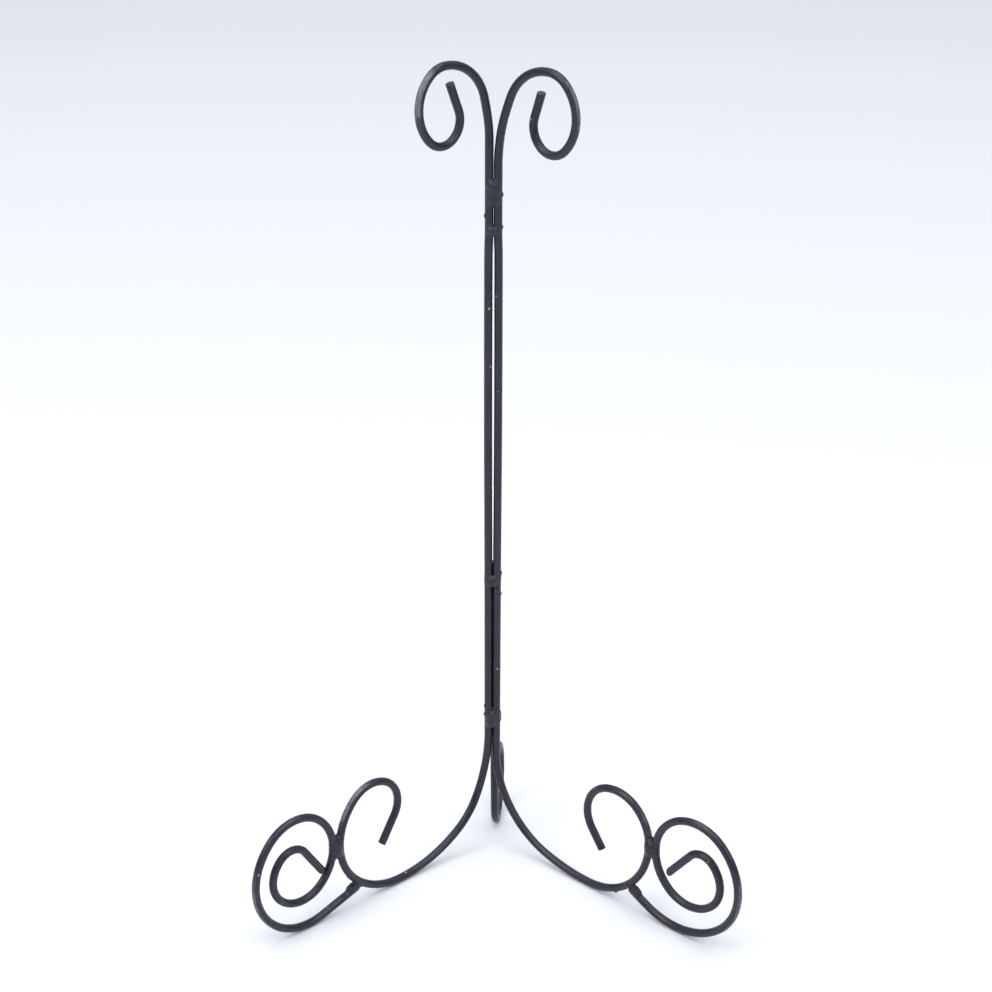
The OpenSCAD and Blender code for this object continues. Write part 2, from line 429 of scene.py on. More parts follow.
        # Paler grey at each vertex: scuffs, and painted highlights on the head loops.
        worn_and_highlighted_share = self._wear_and_highlight(route, angles)
        masks = [worn_and_highlighted_share[row] for row in np.flatnonzero(keep)]
        runs = [distance[row] for row in np.flatnonzero(keep)]
        edges = [0.0] * len(rings)
        for shift, share in self.rim:
            rings.append(
                route.points[-1] + share * radius[-1][:, None] * offsets[-1]
                + (slide[-1][:, None] + shift) * tangents[-1]
            )
            rings.insert(0, (
                route.points[0] + share * radius[0][:, None] * offsets[0]
                + (slide[0][:, None] - shift) * tangents[0]
            ))
            masks = [worn_and_highlighted_share[0], *masks, worn_and_highlighted_share[-1]]
            runs = [0.0, *runs, distance[-1]]
            edge = 1.0 if self.rim_edge[0] < share < self.rim_edge[1] else self.rim_wear
            edges = [edge, *edges, edge]
        return self._closed(name, rings, masks, runs, edges, angles)

    def _closed(self, name: str, rings: list[np.ndarray], masks: list[np.ndarray],
                runs: list[float], edges: list[float], angles: np.ndarray) -> bpy.types.Mesh:
        """Joins rings into a closed mesh and writes its attributes.

        Args:
            name: the mesh's name.
            rings: the corners of each ring, in millimetres.
            masks: how pale each corner is made, for scuffs and painted highlights.
            runs: distance of each ring along the rod, in millimetres.
            edges: how near each ring is to a cut edge, from 0 to 1.
            angles: the angle of each corner.

        Returns:
            The mesh.
        """
        count, sides = len(rings), len(angles)
        corners = np.concatenate([*rings, [rings[0].mean(axis=0)], [rings[-1].mean(axis=0)]])
        faces = []
        for ring in range(count - 1):
            for side in range(sides):
                here, there = ring * sides + side, ring * sides + (side + 1) % sides
                faces.append((here, there, there + sides, here + sides))
        first, final = count * sides, count * sides + 1
        for side in range(sides):
            following = (side + 1) % sides
            faces.append((following, side, first))
            base = (count - 1) * sides
            faces.append((base + side, base + following, final))
        mesh = bpy.data.meshes.new(name)
        mesh.from_pydata((corners * MM).tolist(), [], faces)
        radius = self.rod.radius
        wrap = np.array([
            (run, radius * math.cos(angle), radius * math.sin(angle))
            for run in runs for angle in angles
        ] + [(runs[0], 0, 0), (runs[-1], 0, 0)]) * MM
        wrap[:, 0] += self.seed
        worn_and_highlighted = np.concatenate([*masks, [0.0, 0.0]])
        edge = np.concatenate([np.repeat(edges, sides), [self.cap_wear] * 2])
        finish_mesh(mesh, wrap, worn_and_highlighted, edge)
        return mesh


def finish_mesh(mesh: bpy.types.Mesh, wrap: np.ndarray, rub: np.ndarray, edge: np.ndarray) -> None:
    """Smooths a mesh, turns its faces outward and writes the paint's attributes.

    Args:
        mesh: the mesh to finish.
        wrap: a place for each vertex in the paint's own space, in metres.
        rub: how pale the paint is made at each vertex, for scuffs and painted highlights, from 0 to
            1.
        edge: how near each vertex is to a cut edge, from 0 to 1.
    """
    mesh.validate()
    volume = sum(
        face.center.dot(face.normal) * face.area for face in mesh.polygons
    )
    if volume < 0:
        mesh.flip_normals()
    mesh.polygons.foreach_set("use_smooth", [True] * len(mesh.polygons))
    mesh.attributes.new("wrap", "FLOAT_VECTOR", "POINT").data.foreach_set(
        "vector", np.asarray(wrap, dtype=np.float32).ravel()
    )
    for title, values in (("rub", rub), ("edge", edge)):
        mesh.attributes.new(title, "FLOAT", "POINT").data.foreach_set(
            "value", np.asarray(values, dtype=np.float32)
        )
    mesh.update()


def add_piece(name: str, mesh: bpy.types.Mesh, material: bpy.types.Material, slot: str,
              *nodes: str) -> bpy.types.Object:
    """Adds a piece to the scene in place of the CAD nodes that it stands for.

    Args:
        name: the piece's name.
        mesh: its mesh, in the frame.
        material: its finish.
        slot: the name of a material slot; not used.
        nodes: the CAD nodes that it replaces.

    Returns:
        The new object.
    """
    piece = bpy.data.objects.new(name, mesh)
    bpy.context.scene.collection.objects.link(piece)
    mesh.materials.append(material)
    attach(piece, "root")
    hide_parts(*nodes)
    lows = [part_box(node)[0] for node in nodes]
    highs = [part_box(node)[1] for node in nodes]
    corners = np.array([vertex.co for vertex in mesh.vertices])
    below = corners.min(axis=0) - np.min([tuple(low) for low in lows], axis=0)
    above = corners.max(axis=0) - np.max([tuple(high) for high in highs], axis=0)
    log.info("%s: %d faces, corners off the CAD box by %s and %s mm", name, len(mesh.polygons),
             np.round(below / MM, 2).tolist(), np.round(above / MM, 2).tolist())
    return piece


# ---------------------------------------------------------------------------
# The rods
# ---------------------------------------------------------------------------


@dataclass
class Layout:
    """Sizes that the rods share, and where each of them starts."""

    rod: Rod = field(default_factory=Rod)
    leg_spread: float = 96.0
    stem_gap: float = 0.12
    stem_lean: float = 0.08
    curl_gap: float = 0.3

    @property
    def plane_turn(self) -> float:
        """Turn of a leg's plane from the width towards the front."""
        return 90 - self.leg_spread / 2

    @property
    def stem_x(self) -> float:
        """Distance from the middle to the axis of a stem rod."""
        return (self.rod.diameter + self.stem_gap) / 2

    def plane(self, side: Side) -> Matrix:
        """Stands a flat shape up in the plane of one front leg.

        Args:
            side: which leg.

        Returns:
            The matrix from the flat plane to the frame.
        """
        mirror = Matrix.Diagonal((side.value, 1, 1, 1))
        place = Matrix.Translation((self.stem_x, 0, 0))
        turn = Matrix.Rotation(math.radians(-self.plane_turn), 4, "Z")
        return mirror @ place @ turn @ Matrix.Rotation(math.radians(90), 4, "X")

    def stem_at(self, side: Side, height: float, start: float) -> Vector:
        """The middle of a stem rod at one height.

        Args:
            side: which stem rod.
            height: the height, in millimetres.
            start: the height where the stem starts.

        Returns:
            The point, in millimetres.
        """
        reach = (height - start) * math.tan(math.radians(self.stem_lean))
        angle = math.radians(self.plane_turn)
        x = side.value * (self.stem_x + reach * math.cos(angle))
        return Vector((x, -reach * math.sin(angle), height))


@dataclass(frozen=True)
class MainBends:
    """The bends of one long rod, up from the stem and down from it."""

    climb: tuple[Step, ...]
    head: tuple[Step, ...]
    leg: tuple[Step, ...]
    curl: tuple[Step, ...]


MAIN_BENDS = {
    Side.LEFT: MainBends(
        climb=(Step(89, -14.7), Step(26.8, -75.3)),
        head=(Step(16.3, -45), Step(23.4, -90), Step(11.9, -90), Step(12.6, -67), Step(15.2)),
        leg=(Step(95, 26.4), Step(47, 30.2), Step(80.2, 33.4)),
        curl=(
            Step(45.3, 45), Step(40.2, 45), Step(37.9, 45), Step(18.6, 60), Step(18.5, 107),
            Step(17.7),
        ),
    ),
    Side.RIGHT: MainBends(
        climb=(Step(97, -23.5), Step(27.7, -66.5)),
        head=(Step(17.2, -45), Step(24, -90), Step(12.3, -90), Step(14, -64), Step(14.4)),
        leg=(Step(54, 23.3), Step(58.6, 51.1), Step(117, 15.6)),
        curl=(
            Step(43.9, 45), Step(45.9, 45), Step(27.8, 45), Step(22.7, 60), Step(21.1, 111),
            Step(13.4),
        ),
    ),
}


@dataclass
class MainRod:
    """One long rod: a head scroll, half of the stem, a leg and a front curl."""

    layout: Layout
    side: Side
    bow: float = 0.2
    bow_top: float = 388.0
    bow_foot: float = 190.0
    pinch: float = 0.4
    pinch_gap: float = 0.05
    pinch_spans: tuple[float, float, float, float] = (378.0, 394.0, 444.0, 466.0)

    @property
    def bends(self) -> MainBends:
        """The bends of this side's rod."""
        return MAIN_BENDS[self.side]

    @property
    def node(self) -> str:
        """The CAD node of this rod."""
        return f"{self.side.label}_main_rod"

    @property
    def leg_steps(self) -> list[Step]:
        """The bends from the stem down to the ground."""
        hip, knee, shin = self.bends.leg
        return [Step(hip.size, hip.turn + self.layout.stem_lean), knee, shin]

    @property
    def curl_steps(self) -> list[Step]:
        """The bends of the front curl, from the ground to its end."""
        return list(self.bends.curl)

    @property
    def head_steps(self) -> list[Step]:
        """The bends of the head scroll, from the stem to its end."""
        neck, shoulder = self.bends.climb
        neck = Step(neck.size, neck.turn + self.layout.stem_lean)
        return [neck, shoulder, *self.bends.head]

    @property
    def _leg_end(self) -> Place:
        """Where the leg meets the ground, measured from the start of the stem."""
        start = Place(0, 0, DOWN - self.layout.stem_lean).ahead(self.layout.rod.joint)
        return self.layout.rod.run_end(start, self.leg_steps)

    @property
    def stem_foot(self) -> float:
        """The height where the stem starts, above the leg."""
        return self.layout.rod.radius - self._leg_end.height

    @property
    def ground_place(self) -> Place:
        """Where the rod touches the ground."""
        return Place(self._leg_end.across, self.layout.rod.radius, OUTWARD)

    @property
    def curl_side(self) -> Place:
        """The outermost place of the front curl, where the foot scroll is welded."""
        return self.layout.rod.run_end(self.ground_place, self.curl_steps[:2])

    def _stem_length(self) -> float:
        """Length of the straight stem, so that the head reaches the CAD node's top."""
        rod, lean = self.layout.rod, self.layout.stem_lean
        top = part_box(self.node)[1][2] / MM - rod.radius
        climb = rod.run_end(Place(0, 0, UP - lean).ahead(rod.joint), self.head_steps[:2])
        return (top - climb.height - self.stem_foot) / math.cos(math.radians(lean))

    def route(self) -> Route:
        """The centre line, from the end of the head scroll to the end of the curl."""
        layout, rod = self.layout, self.layout.rod
        plane = layout.plane(self.side)
        stem = Step(self._stem_length())
        start = Place(0, self.stem_foot, UP - layout.stem_lean)
        upper = Route.traced(rod, start, [stem, *self.head_steps], plane)
        start = Place(0, self.stem_foot, DOWN - layout.stem_lean).ahead(rod.joint)
        lower = Route.traced(rod, start, self.leg_steps + self.curl_steps, plane)
        upper.step = -upper.step
        whole = upper.backwards().then(lower, 0.0)
        self._spring(whole)
        return whole

    def _spring(self, route: Route) -> None:
        """Bows the stem a little outward between its welds, and in again at its head.

        Args:
            route: the route to change.
        """
        height = route.points[:, 2]
        stem = (route.step <= 0) & (route.step >= -2)
        share = np.clip((height - self.bow_foot) / (self.bow_top - self.bow_foot), 0, 1)
        bow = self.bow * np.sin(math.pi * share)
        rise = np.interp(height, self.pinch_spans, (0.0, 1.0, 1.0, 0.0))
        room = self.side.value * route.points[:, 0] - self.layout.rod.radius - self.pinch_gap
        pinch = np.clip(room, 0, self.pinch) * rise * rise * (3 - 2 * rise)
        route.points[:, 0] += self.side.value * np.where(stem, bow - pinch, 0)


@dataclass(frozen=True)
class ScrollBends:
    """The bends of one foot scroll, out from where it touches the ground."""

    lead_slope: float
    outer: tuple[Step, Step, Step]
    near: Step
    inner: tuple[Step, ...]


SCROLL_BENDS = {
    Side.LEFT: ScrollBends(
        lead_slope=16.6,
        outer=(Step(33.5, 45), Step(39.7, 90), Step(23.9, 90)),
        near=Step(30, 90),
        inner=(Step(19.7, 90), Step(19.4, 90), Step(10.9, 102), Step(19.9)),
    ),
    Side.RIGHT: ScrollBends(
        lead_slope=26.0,
        outer=(Step(45, 45), Step(37.8, 90), Step(27.2, 90)),
        near=Step(29.3, 90),
        inner=(Step(22.2, 90), Step(19.7, 90), Step(10.4, 96), Step(23.2)),
    ),
}


@dataclass
class FootScroll:
    """The scroll outside a front curl, with the lead that runs back under the leg."""

    main: MainRod
    lead_bite: float = 0.6

    @property
    def bends(self) -> ScrollBends:
        """The bends of this side's scroll."""
        return SCROLL_BENDS[self.main.side]

    @property
    def node(self) -> str:
        """The CAD node of this scroll."""
        return f"{self.main.side.label}_foot_scroll"

    @property
    def steps(self) -> list[Step]:
        """The bends of the scroll, from the ground to its end."""
        return [*self.bends.outer, self.bends.near, *self.bends.inner]

    @property
    def _half_way(self) -> list[Step]:
        """The bends from the ground to the side that faces the curl."""
        near = self.bends.near
        return [*self.bends.outer, Step(near.size, near.turn / 2)]

    @property
    def place(self) -> Place:
        """Where the scroll touches the ground."""
        layout = self.main.layout
        back = layout.rod.run_end(Place(0, 0, OUTWARD), self._half_way).across
        across = self.main.curl_side.across + layout.rod.diameter + layout.curl_gap - back
        return Place(across, layout.rod.radius, OUTWARD)

    @property
    def near_place(self) -> Place:
        """The place of the scroll that is welded to the curl."""
        return self.main.layout.rod.run_end(self.place, self._half_way)

    @property
    def _lead_bend(self) -> Step:
        """The bend where the lead rises from the ground."""
        return Step(self.bends.outer[0].size, -self.bends.lead_slope)

    @property
    def lead_end(self) -> Place:
        """The end of the lead, against the underside of the rising leg."""
        return self._lead_place.ahead(self._lead_length)

    @property
    def _lead_start(self) -> Place:
        """Where the lead leaves the ground."""
        return Place(self.place.across, self.place.height, INWARD).ahead(self.main.layout.rod.joint)

    @property
    def _lead_place(self) -> Place:
        """Where the straight part of the lead begins."""
        return self.main.layout.rod.run_end(self._lead_start, [self._lead_bend])

    @property
    def _lead_length(self) -> float:
        """Length of the straight part, so that its end bites into the leg's underside."""
        rod, ground = self.main.layout.rod, self.main.ground_place
        bend = self.main.curl_steps[0].size
        reach = bend + rod.diameter - self.lead_bite
        across = self._lead_place.across - ground.across
        height = self._lead_place.height - rod.radius - bend
        heading = math.radians(self._lead_place.heading)
        along = across * math.cos(heading) + height * math.sin(heading)
        away = across * across + height * height - reach * reach
        return -along - math.sqrt(along * along - away)

    def route(self) -> Route:
        """The centre line, from the end of the lead to the end of the scroll."""
        layout = self.main.layout
        plane = layout.plane(self.main.side)
        scroll = Route.traced(layout.rod, self.place, self.steps, plane)
        steps = [self._lead_bend, Step(self._lead_length)]
        lead = Route.traced(layout.rod, self._lead_start, steps, plane)
        lead.step = -lead.step
        return lead.backwards().then(scroll, 0.0)


@dataclass
class RearLeg:
    """The straight rod behind the stem, with a hook that rests on the ground."""

    layout: Layout
    top: float = 190.0
    gap: float = 0.12
    lean: float = 0.5
    turn: float = 5.2
    heel: Step = Step(17, 90)
    hook: tuple[Step, ...] = (Step(24, 90), Step(23, 90), Step(10, 90), Step(9, 80), Step(8))

    @property
    def y(self) -> float:
        """Distance of the leg's axis behind the stem's."""
        return self.layout.rod.diameter + self.gap

    def at(self, height: float) -> Vector:
        """The middle of the leg at one height, in millimetres."""
        return Vector(((self.top - height) * math.tan(math.radians(self.lean)), self.y, height))

    def route(self) -> Route:
        """The centre line, from the upper end to the end of the hook."""
        rod = self.layout.rod
        straight = Step(self.top - rod.joint - self.heel.size - rod.radius)
        matrix = (
            Matrix.Translation((0, self.y, self.top))
            @ Matrix.Rotation(math.radians(-self.lean), 4, "Y")
            @ Matrix.Rotation(math.radians(90 - self.turn), 4, "Z")
            @ Matrix.Rotation(math.radians(90), 4, "X")
        )
        return Route.traced(rod, Place(0, 0, DOWN), [straight, self.heel, *self.hook], matrix)


# ---------------------------------------------------------------------------
# The welds
# ---------------------------------------------------------------------------


@dataclass(frozen=True)
class Lump:
    """One drop of weld metal, in millimetres in the frame."""

    centre: Vector
    radius: float


@dataclass
class Puddle:
    """A weld: drops of metal that have run together and on to the rods beside them."""

    name: str
    nodes: tuple[str, ...]
    lumps: list[Lump]
    routes: list[Route]
    seed: int
    blend: float = 2.4
    cell: float = 0.24
    spatters: int = 4
    spatter_reach: float = 11.0
    ripple: float = 0.11
    skin: float = 0.16
    toe: float = 2.6
    drop_radii: tuple[float, float] = (0.2, 0.34)
    drop_sink: float = 0.4
    ripple_scales: tuple[float, float] = (0.55, 1.4)
    ripple_rub: float = 0.6
    ripple_edge: float = 0.3

    def _spatter(self, rod: Rod) -> list[Lump]:
        """Small drops that flew off the weld and stuck to the rods.

        Args:
            rod: the rod that they stick to.

        Returns:
            The drops.
        """
        rng = random.Random(self.seed)
        middle = sum((lump.centre for lump in self.lumps), Vector()) / len(self.lumps)
        reach = np.array([self.spatter_reach] * 3)
        drops = []
        for _ in range(self.spatters):
            low, high = np.array(middle) - reach, np.array(middle) + reach
            pairs = rng.choice(self.routes).near(low, high, 0)
            first, second = (Vector(point) for point in rng.choice(pairs.tolist()))
            along = (second - first).normalized()
            side = along.orthogonal().normalized()
            side.rotate(Matrix.Rotation(rng.uniform(0, 2 * math.pi), 3, along))
            radius = rng.uniform(*self.drop_radii)
            drops.append(Lump(first + side * (rod.radius - radius * self.drop_sink), radius))
        return drops

    def _field(self, rod: Rod, lumps: list[Lump], spots: np.ndarray,
               low: np.ndarray, high: np.ndarray) -> np.ndarray:
        """Distance from the weld's surface at every grid point, less than 0 inside it.

        Args:
            rod: the rod that the weld sits on.
            lumps: the drops, with the spatter.
            spots: the grid points.
            low: the grid's lowest corner.
            high: its highest corner.

        Returns:
            The distances, in millimetres.
        """
        metal = np.full(len(spots), 1e3)
        for lump in lumps:
            ball = np.linalg.norm(spots - np.array(lump.centre), axis=1) - lump.radius
            metal = smooth_least(metal, ball, min(self.blend, lump.radius))
        steel = np.full(len(spots), 1e3)
        for route in self.routes:
            for first, second in route.near(low, high, rod.diameter):
                axis = second - first
                share = np.clip((spots - first) @ axis / (axis @ axis), 0, 1)
                away = spots - first - share[:, None] * axis
                steel = np.minimum(steel, np.linalg.norm(away, axis=1) - rod.radius + self.skin)
        return np.maximum(smooth_least(metal, steel, self.blend), metal - self.toe)

    def mesh(self, rod: Rod) -> bpy.types.Mesh:
        """Builds the closed mesh of the weld.

        Args:
            rod: the rod that the weld sits on.

        Returns:
            A mesh in metres, with the attributes that the paint reads.
        """
        lumps = self.lumps + self._spatter(rod)
        centres = np.array([tuple(lump.centre) for lump in lumps])
        radii = np.array([lump.radius for lump in lumps])[:, None]
        margin = self.toe + 2 * self.cell
        low = (centres - radii).min(axis=0) - margin
        high = (centres + radii).max(axis=0) + margin
        counts = np.ceil((high - low) / self.cell).astype(int) + 1
        axes = [low[axis] + self.cell * np.arange(counts[axis]) for axis in range(3)]
        spots = np.stack(np.meshgrid(*axes, indexing="ij"), axis=-1).reshape(-1, 3)
        values = self._field(rod, lumps, spots, low, high).reshape(counts)
        corners, faces = surface_net(values, low, self.cell)
        mesh = bpy.data.meshes.new(self.name)
        mesh.from_pydata((corners * MM).tolist(), [], faces.tolist())
        mesh.validate()
        normals = np.array([tuple(vertex.normal) for vertex in mesh.vertices])
        offset = Vector((self.seed * 3.1, 0, 0))
        broad, fine = self.ripple_scales
        rise = np.array([
            noise.noise(Vector(corner) * broad + offset)
            + 0.5 * noise.noise(Vector(corner) * fine + offset)
            for corner in corners
        ])
        corners = corners + normals * (self.ripple * rise)[:, None]
        mesh.vertices.foreach_set("co", (corners * MM).ravel())
        rub = np.clip(rise * self.ripple_rub, 0, 1) * 0.5
        finish_mesh(mesh, corners * MM + self.seed, rub, np.clip(rise, 0, 1) * self.ripple_edge)
        return mesh


def smooth_least(first: np.ndarray, second: np.ndarray, width: float) -> np.ndarray:
    """The lesser of two distances, rounded where they are close.

    Args:
        first: one distance for each point.
        second: the other distance for each point.
        width: how close the two are where the rounding begins.

    Returns:
        The rounded distances.
    """
    share = np.clip(1 - np.abs(first - second) / width, 0, 1)
    return np.minimum(first, second) - share * share * width / 4


def surface_net(values: np.ndarray, low: np.ndarray, cell: float) -> tuple[np.ndarray, np.ndarray]:
    """Draws a net of quads over the zero surface of a sampled distance.

    Args:
        values: the distance at each grid point, less than 0 inside.
        low: the grid's lowest corner.
        cell: the grid's spacing.

    Returns:
        The corners of the net, and four corner numbers for each quad.
    """
    shape = np.array(values.shape) - 1
    total = np.zeros((*shape, 3))
    count = np.zeros(shape, dtype=int)

    def at(corner: tuple[int, ...]) -> np.ndarray:
        """The values at one corner of every cell."""
        return values[tuple(slice(c, c + n) for c, n in zip(corner, shape))]

    for corner in np.ndindex(2, 2, 2):
        for axis in range(3):
            if corner[axis]:
                continue
            other = tuple(1 if number == axis else c for number, c in enumerate(corner))
            here, there = at(corner), at(other)
            crossed = (here < 0) != (there < 0)
            share = np.where(crossed, here / np.where(crossed, here - there, 1), 0)
            spot = np.zeros((*shape, 3)) + corner
            spot[..., axis] += share
            total += spot * crossed[..., None]
            count += crossed
    used = count > 0
    index = np.full(shape, -1)
    index[used] = np.arange(used.sum())
    corners = low + cell * (np.argwhere(used) + total[used] / count[used][:, None])
    faces = []
    for axis in range(3):
        here = np.take(values, range(shape[axis]), axis=axis) < 0
        there = np.take(values, range(1, shape[axis] + 1), axis=axis) < 0
        spots = np.argwhere(here != there)
        around = [(axis + 1) % 3, (axis + 2) % 3]
        whole = np.all((spots[:, around] > 0) & (spots[:, around] < shape[around]), axis=1)
        spots = spots[whole]
        ring = []
        for first, second in ((0, 0), (1, 0), (1, 1), (0, 1)):
            back = np.zeros(3, dtype=int)
            back[around] = first, second
            ring.append(index[tuple((spots - back).T)])
        quads = np.stack(ring, axis=1)
        outward = there[tuple(spots.T)]
        faces.append(np.where(outward[:, None], quads[:, ::-1], quads))
    return corners, np.concatenate(faces)


@dataclass
class Welds:
    """Every weld of the stand, and how its drops of metal lie."""

    layout: Layout
    mains: dict[Side, MainRod]
    scrolls: dict[Side, FootScroll]
    rear: RearLeg
    routes: dict[str, Route]
    head_drop: float = 74.5
    tack_drop: float = 96.0
    middle_drop: float = 10.0
    lower_rise: float = 9.0
    pitch: float = 1.7
    seat: float = 2.0
    groove_out: float = 1.3
    curl_depth: float = 0.9
    curl_rows: dict[Side, tuple[int, float]] = field(default_factory=lambda: {
        Side.LEFT: (6, 2.35), Side.RIGHT: (4, 2.8),
    })
    lead_spots: tuple[tuple[float, float], ...] = (
        (0.4, 1.2), (0.6, -1.2), (2.6, 1.3), (2.6, -1.3), (4.6, 0.7), (4.8, -0.7),
    )
    lead_radii: tuple[float, float] = (1.25, 1.55)

    def _stem_foot(self) -> float:
        """The height where both stem rods have begun."""
        return max(main.stem_foot for main in self.mains.values())

    def _column(self, spot: Vector, count: int, radius: float, seed: int,
                stray: float = 0.45) -> list[Lump]:
        """A row of drops, one over another, none quite like the next.

        Args:
            spot: the middle of the row.
            count: how many drops.
            radius: the radius of a drop.
            seed: starts the random draws.
            stray: how far a drop strays from the row.

        Returns:
            The drops.
        """
        rng = random.Random(seed)
        lumps = []
        for number in range(count):
            rise = (number - (count - 1) / 2) * self.pitch
            shift = Vector((rng.uniform(-stray, stray), rng.uniform(-0.3, 0.3) * stray,
                            rise + rng.uniform(-0.3, 0.3)))
            lumps.append(Lump(spot + shift, radius * rng.uniform(0.88, 1.1)))
        return lumps

    def _stem(self, height: float, count: int, seed: int, radius: float = 2.0) -> list[Lump]:
        """Drops in the groove at the front of the stem."""
        middle = self.layout.stem_at(Side.LEFT, height, self._stem_foot())
        return self._column(Vector((0, middle.y - self.seat, height)), count, radius, seed, 0.8)

    def _rear(self, height: float, count: int, seed: int) -> list[Lump]:
        """Drops in both grooves between the rear leg and the stem.

        Args:
            height: the height of the weld's middle.
            count: how many drops in each groove.
            seed: starts the random draws.

        Returns:
            The drops.
        """
        lumps = []
        for side in Side:
            front = self.layout.stem_at(side, height, self._stem_foot())
            back = self.rear.at(height)
            along = (back - front).normalized()
            out = Vector((along.y, -along.x, 0)) * self.groove_out * side.value
            lumps += self._column((front + back) / 2 + out, count, 2.0, seed + side.value, 0.3)
        return lumps

    def _curl(self, side: Side, seed: int) -> list[Lump]:
        """Drops between a front curl and its foot scroll.

        Args:
            side: which foot.
            seed: starts the random draws.

        Returns:
            The drops.
        """
        main, scroll = self.mains[side], self.scrolls[side]
        across = main.curl_side.across + (self.layout.rod.diameter + self.layout.curl_gap) / 2
        height = (main.curl_side.height + scroll.near_place.height) / 2
        plane = self.layout.plane(side)
        count, radius = self.curl_rows[side]
        lumps = []
        for row, depth in enumerate((self.curl_depth, -self.curl_depth)):
            spot = plane @ Vector((across, height, depth))
            lumps += self._column(spot, count, radius, seed + row, 0.5)
        return lumps

    def _lead(self, side: Side, seed: int) -> list[Lump]:
        """Drops round the end of a lead, under the rising leg.

        Args:
            side: which foot.
            seed: starts the random draws.

        Returns:
            The drops.
        """
        end, plane = self.scrolls[side].lead_end, self.layout.plane(side)
        rng = random.Random(seed)
        lumps = []
        for back, depth in self.lead_spots:
            spot = end.ahead(-back)
            rise = self.layout.rod.radius - 0.3 + 0.08 * back
            centre = plane @ Vector((spot.across, spot.height + rise, depth))
            lumps.append(Lump(centre, rng.uniform(*self.lead_radii)))
        return lumps

    def puddles(self) -> list[Puddle]:
        """Every weld, from the head down."""
        top = CAD_BOX[1].z / MM
        stems = [self.routes[main.node] for main in self.mains.values()]
        rear = self.routes["rear_leg"]
        middle, lower = self.rear.top - self.middle_drop, self._stem_foot() + self.lower_rise
        found = [
            Puddle("head_weld_puddle", ("head_weld",),
                   self._stem(top - self.head_drop, 7, 11, 2.2), stems, 1),
            Puddle("tack_weld_puddle", ("tack_weld",), self._stem(top - self.tack_drop, 2, 12, 1.8),
                   stems, 2, spatters=4),
            Puddle("middle_weld_puddle", ("middle_weld",), self._stem(middle, 3, 13), stems, 3),
            Puddle("lower_weld_puddle", ("lower_weld",), self._stem(lower, 5, 14), stems, 4),
            Puddle("rear_leg_upper_weld_puddle", ("rear_leg_upper_weld",),
                   self._rear(middle, 4, 25), [*stems, rear], 5),
            Puddle("rear_leg_lower_weld_puddle", ("rear_leg_lower_weld",),
                   self._rear(lower, 4, 35), [*stems, rear], 6),
        ]
        for number, side in enumerate(Side):
            near = [self.routes[self.mains[side].node], self.routes[self.scrolls[side].node]]
            found.append(Puddle(f"{side.label}_curl_weld_puddle", (f"{side.label}_curl_weld",),
                                self._curl(side, 41 + 2 * number), near, 7 + number))
            found.append(Puddle(f"{side.label}_lead_weld_puddle", (f"{side.label}_lead_weld",),
                                self._lead(side, 51 + number), near, 9 + number))
        return found


# ---------------------------------------------------------------------------
# Finishes
# ---------------------------------------------------------------------------

Colour = tuple[float, float, float]
Socket = bpy.types.NodeSocket


